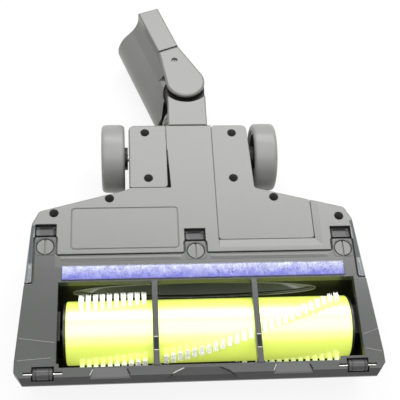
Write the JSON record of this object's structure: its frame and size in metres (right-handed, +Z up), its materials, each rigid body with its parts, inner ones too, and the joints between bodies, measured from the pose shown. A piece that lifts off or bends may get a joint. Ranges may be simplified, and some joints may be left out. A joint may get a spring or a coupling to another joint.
{
  "type": "vacuum floor brush head",
  "caption": "Powered vacuum floor head lying sole up: bristle roll in a windowed guard, lint strip, rear wheels and a tilting, swivelling wand connector.",
  "frame": {"origin": "on the flat back of the top cover, which rests on the table, midway across the head and 36 mm behind the brush roll's axis", "axes": "+X across the head, +Y from the front lip to the wand, +Z up out of the sole; the head lies on its back, and half a turn about Y stands it on a floor for use"},
  "size_m": [0.28, 0.3642, 0.0718],
  "materials": {
    "housing": "semi-gloss moulded",
    "guard": "semi-gloss moulded",
    "pile": "short pile",
    "roller": "smooth",
    "steel": "plain",
    "drum": "smooth",
    "bristle": "stiff filament",
    "cap": "plain",
    "belt": "plain",
    "motor": "plain",
    "duct": "smooth",
    "tyre": "satin",
    "hub": "plain",
    "contact": "plain",
    "hose": "ribbed"
  },
  "bodies": {
    "head": {"base_housing": "housing", "top_cover": "housing", "brush_guard": "guard", "lint_strip": "pile", "front_roller_pin_left": "steel", "front_roller_pin_right": "steel", "axle_cover": "housing", "rear_cover": "housing", "body_screws": "steel", "bearing_block_left": "cap", "bearing_block_right": "cap", "drive_belt": "belt", "brush_motor": "motor", "motor_bracket": "cap", "suction_duct": "duct", "wheel_axle_left": "steel", "wheel_axle_right": "steel"},
    "brush_roll": {"brush_drum": "drum", "bristle_row_a": "bristle", "bristle_row_b": "bristle", "bristle_row_c": "bristle", "roll_cap_left": "cap", "roll_cap_right": "cap", "roll_pulley": "cap"},
    "motor_rotor": {"motor_pulley": "steel"},
    "neck": {"neck": "housing", "flex_hose": "hose"},
    "connector": {"wand_connector": "housing", "swivel_lid": "housing", "lid_screw": "steel", "swivel_pin_upper": "steel", "swivel_pin_lower": "steel", "socket_sleeve": "cap", "contact_block": "cap", "contact_pins": "contact"},
    "wheel_left": {"wheel_tyre_left": "tyre", "wheel_hub_left": "hub"},
    "wheel_right": {"wheel_tyre_right": "tyre", "wheel_hub_right": "hub"},
    "roller_left": {"front_roller_left": "roller"},
    "roller_right": {"front_roller_right": "roller"},
    "lock_left": {"guard_lock_left": "guard"},
    "lock_centre": {"guard_lock_centre": "guard"},
    "lock_right": {"guard_lock_right": "guard"}
  },
  "joints": [
    {"name": "brush_spin", "type": "hinge", "parent": "head", "child": "brush_roll", "pos_m": [0, -0.036, 0.04], "axis": [1, 0, 0], "continuous": true},
    {"name": "motor_spin", "type": "hinge", "parent": "head", "child": "motor_rotor", "pos_m": [-0.1225, 0.036, 0.034], "axis": [1, 0, 0], "continuous": true},
    {"name": "neck_pitch", "type": "hinge", "parent": "head", "child": "neck", "pos_m": [-0.003, 0.1275, 0.04], "axis": [-1, 0, 0], "range_deg": [0, 85], "deforming": ["flex_hose"]},
    {"name": "connector_swivel", "type": "hinge", "parent": "neck", "child": "connector", "pos_m": [-0.0008, 0.1925, 0.04], "axis": [0, 0, 1], "range_deg": [-51, 9], "deforming": ["flex_hose"]},
    {"name": "wheel_left_spin", "type": "hinge", "parent": "head", "child": "wheel_left", "pos_m": [-0.066, 0.1275, 0.04], "axis": [1, 0, 0], "continuous": true},
    {"name": "wheel_right_spin", "type": "hinge", "parent": "head", "child": "wheel_right", "pos_m": [0.066, 0.1275, 0.04], "axis": [1, 0, 0], "continuous": true},
    {"name": "roller_left_spin", "type": "hinge", "parent": "head", "child": "roller_left", "pos_m": [-0.1185, -0.078, 0.0653], "axis": [1, 0, 0], "continuous": true},
    {"name": "roller_right_spin", "type": "hinge", "parent": "head", "child": "roller_right", "pos_m": [0.1185, -0.078, 0.0653], "axis": [1, 0, 0], "continuous": true},
    {"name": "lock_left_turn", "type": "hinge", "parent": "head", "child": "lock_left", "pos_m": [-0.12, 0.027, 0.066], "axis": [0, 0, 1], "range_deg": [0, 90]},
    {"name": "lock_centre_turn", "type": "hinge", "parent": "head", "child": "lock_centre", "pos_m": [0, 0.021, 0.066], "axis": [0, 0, 1], "range_deg": [0, 90]},
    {"name": "lock_right_turn", "type": "hinge", "parent": "head", "child": "lock_right", "pos_m": [0.12, 0.021, 0.066], "axis": [0, 0, 1], "range_deg": [0, 90]}
  ],
  "couplings": [
    {"joint": "motor_spin", "follows": "brush_spin", "ratio": 2.3333}
  ]
}
